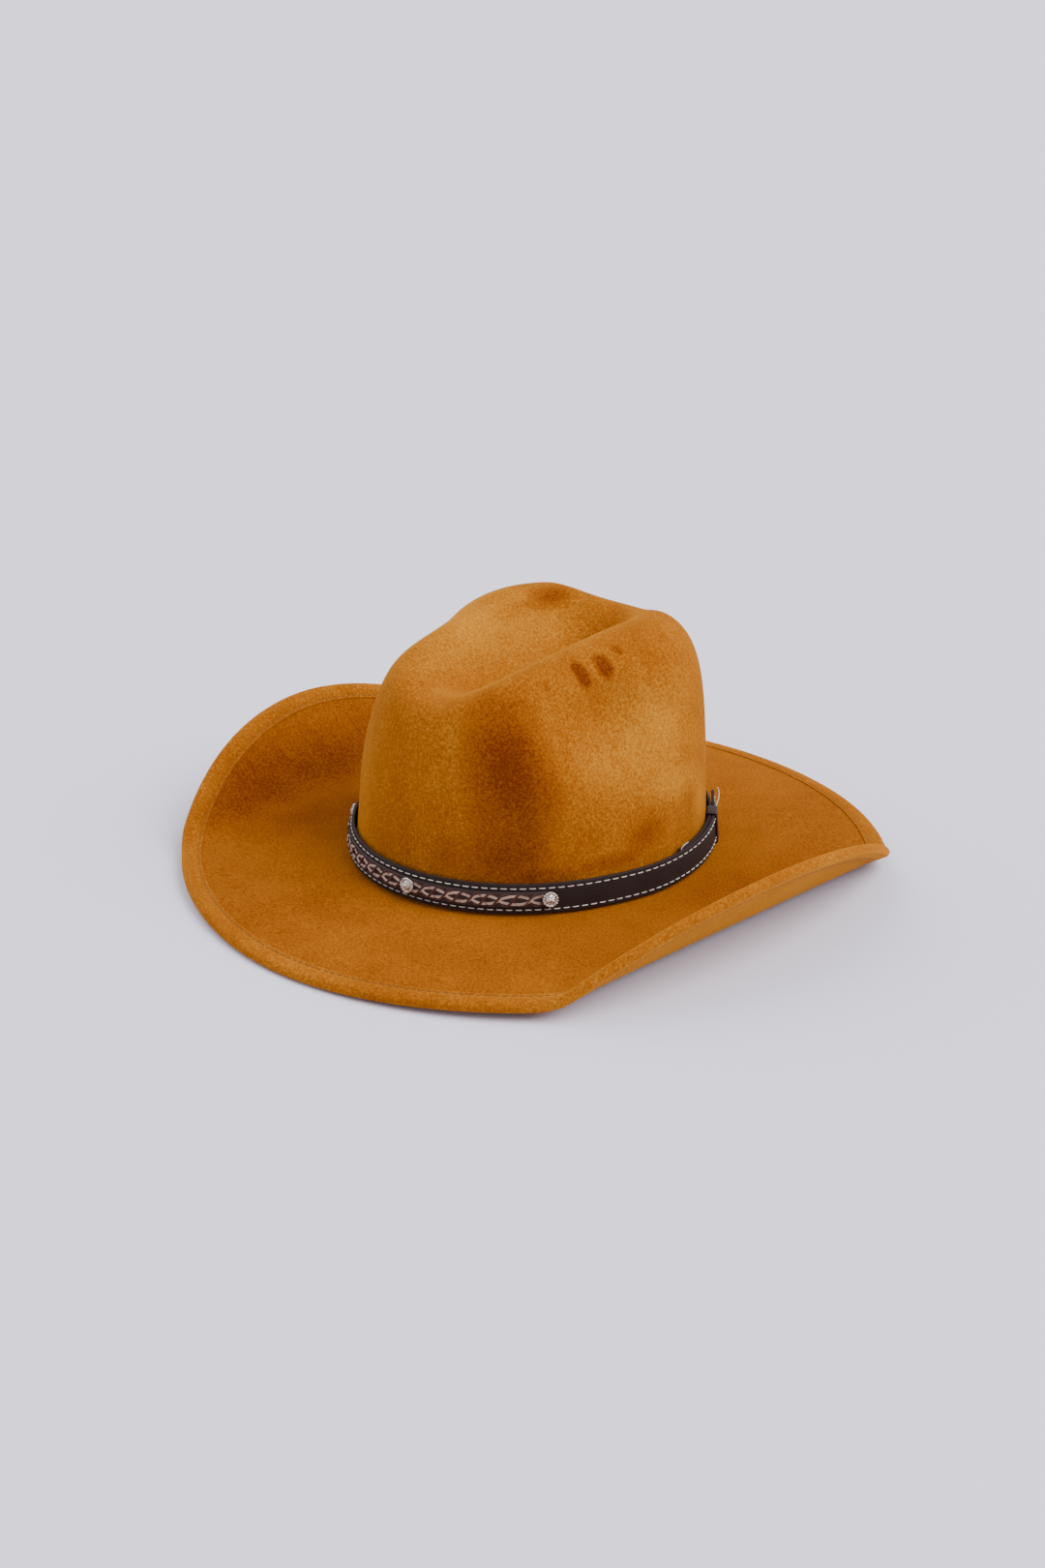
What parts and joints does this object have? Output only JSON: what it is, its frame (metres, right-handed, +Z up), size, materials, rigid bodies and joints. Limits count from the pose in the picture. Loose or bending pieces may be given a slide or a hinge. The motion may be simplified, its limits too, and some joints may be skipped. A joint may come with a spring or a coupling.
{
  "type": "western hat",
  "caption": "Wide-brimmed western hat in suede-look cloth with rolled sides, creased crown and a leather hatband with woven inlay and metal studs.",
  "frame": {"origin": "under the middle of the hat, on the surface the brim stands on", "axes": "+Z up, the front of the hat faces -Y, +X is the wearer's left"},
  "size_m": [0.3712, 0.3798, 0.1359],
  "materials": {
    "suede": "brushed suede-look nap, golden brown",
    "stiffener": "stiff sized cloth and felt board",
    "satin": "satin lining",
    "wire": "spring wire",
    "brown_thread": "sewing thread",
    "sweat_leather": "smooth brown leatherette",
    "strap_leather": "smooth black-brown leather",
    "keeper_leather": "smooth dark brown leather",
    "white_thread": "waxed white thread",
    "horsehair": "cream and brown hitched hair",
    "stud_metal": "worn silver plate"
  },
  "bodies": {
    "hat": {"crown_cover": "suede", "crown_stiffener": "stiffener", "crown_lining": "satin", "brim_top_cover": "suede", "brim_core": "stiffener", "brim_under_cover": "suede", "brim_binding": "suede", "brim_wire": "wire", "binding_stitching_top": "brown_thread", "binding_stitching_bottom": "brown_thread", "sweatband": "sweat_leather", "sweatband_stitching": "brown_thread", "sweatband_seam_tape": "sweat_leather"},
    "hatband": {"hatband_strap": "strap_leather", "hatband_stitching_upper": "white_thread", "hatband_stitching_lower": "white_thread", "hatband_braid": "horsehair", "concho_left": "stud_metal", "concho_front": "stud_metal", "concho_right": "stud_metal"},
    "keeper": {"hatband_keeper": "keeper_leather"}
  },
  "joints": [
    {"name": "hatband_lift", "type": "slide", "parent": "hat", "child": "hatband", "axis": [0, 0, 1], "range_m": [0, 0.145]},
    {"name": "keeper_slide", "type": "hinge", "parent": "hatband", "child": "keeper", "pos_m": [-0.00875, 0, 0.021], "axis": [0, 0, 1], "range_deg": [-18, 4]}
  ]
}
